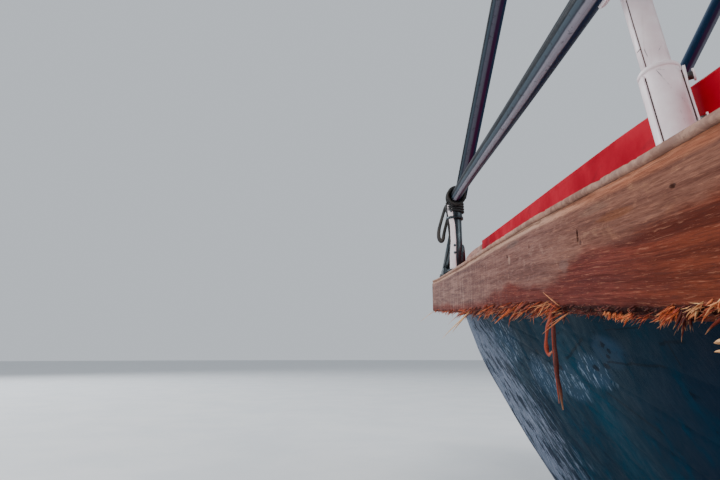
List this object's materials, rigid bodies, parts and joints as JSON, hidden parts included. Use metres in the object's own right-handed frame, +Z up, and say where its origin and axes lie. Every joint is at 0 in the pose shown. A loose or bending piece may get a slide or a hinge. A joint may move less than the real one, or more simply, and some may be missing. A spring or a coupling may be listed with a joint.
{
  "type": "longtail boat",
  "caption": "Open wooden longtail boat with heavy sheer planks, red coamings, steel pipe rails, a cloth canopy on posts and a tail engine on a swivel at the stern.",
  "frame": {"origin": "on the centreline, amidships between the ends of the sheer planks, at the waterline", "axes": "+X forward to the bow, +Y to port, +Z up"},
  "size_m": [13.7096, 1.9962, 2.8526],
  "materials": {
    "hull_paint": "worn teal paint on planks",
    "keel_paint": "worn dark blue paint",
    "plank_wood": "rough sawn and weathered, stained red brown",
    "cap_wood": "grey weathered boards",
    "deck_wood": "worn bare boards",
    "frame_wood": "oiled hardwood",
    "red_paint": "crimson paint, scuffed at the edges",
    "rail_steel": "dull dark steel pipe",
    "white_pipe": "dirty white paint",
    "canopy_cloth": "faded blue cloth",
    "engine_iron": "oily cast iron with worn paint",
    "engine_alloy": "dull cast alloy",
    "exhaust_steel": "rusty and heat stained",
    "cleaner_black": "black paint, dusty",
    "filter_paint": "enamel on sheet steel, oily",
    "tank_plastic": "translucent off white plastic, stained",
    "grip_rubber": "worn black grip on a painted bar",
    "prop_brass": "scratched bronze"
  },
  "bodies": {
    "hull": {"keel_and_stem": "keel_paint", "hull_port": "hull_paint", "hull_starboard": "hull_paint", "transom": "hull_paint", "frames": "frame_wood", "floorboards": "deck_wood", "side_deck_port": "cap_wood", "side_deck_starboard": "cap_wood", "sheer_plank_port": "plank_wood", "sheer_plank_starboard": "plank_wood", "coaming_port": "red_paint", "coaming_starboard": "red_paint", "foredeck": "deck_wood", "breasthook": "deck_wood", "thwart_1": "deck_wood", "thwart_2": "deck_wood", "thwart_3": "deck_wood", "thwart_4": "deck_wood", "aft_deck": "deck_wood", "side_rail_port": "rail_steel", "side_rail_starboard": "rail_steel", "bow_post_port": "rail_steel", "bow_post_starboard": "rail_steel", "roof_rail_port": "rail_steel", "roof_rail_starboard": "rail_steel", "canopy_strut_port": "rail_steel", "canopy_strut_starboard": "rail_steel", "canopy_post_1_port": "white_pipe", "canopy_post_1_starboard": "white_pipe", "canopy_post_2_port": "white_pipe", "canopy_post_2_starboard": "white_pipe", "canopy_post_3_port": "white_pipe", "canopy_post_3_starboard": "white_pipe", "canopy_post_4_port": "white_pipe", "canopy_post_4_starboard": "white_pipe", "canopy_bows": "rail_steel", "canopy_roof": "canopy_cloth", "engine_bed": "frame_wood", "fuel_tank": "tank_plastic"},
    "swivel": {"swivel_yoke": "rail_steel"},
    "tail": {"engine_cradle": "rail_steel", "engine_block": "engine_iron", "engine_head": "engine_alloy", "starter_motor": "cleaner_black", "oil_filter": "filter_paint", "exhaust": "exhaust_steel", "air_cleaner": "cleaner_black", "belt_drive": "cleaner_black", "tail_tube": "rail_steel", "tail_stay": "rail_steel", "skeg": "rail_steel", "splash_plate": "rail_steel", "tiller": "grip_rubber"},
    "propeller": {"propeller": "prop_brass"}
  },
  "joints": [
    {"name": "engine_swivel", "type": "hinge", "parent": "hull", "child": "swivel", "pos_m": [-4.7, 0, 1.02], "axis": [0, 0, 1], "range_deg": [-45, 45]},
    {"name": "tail_tilt", "type": "hinge", "parent": "swivel", "child": "tail", "pos_m": [-4.7, 0, 1.02], "axis": [0, 1, 0], "range_deg": [-4, 24]},
    {"name": "propeller_spin", "type": "hinge", "parent": "tail", "child": "propeller", "pos_m": [-8.2275, 0, -0.2927], "axis": [0.9205, 0, 0.3907], "continuous": true}
  ]
}
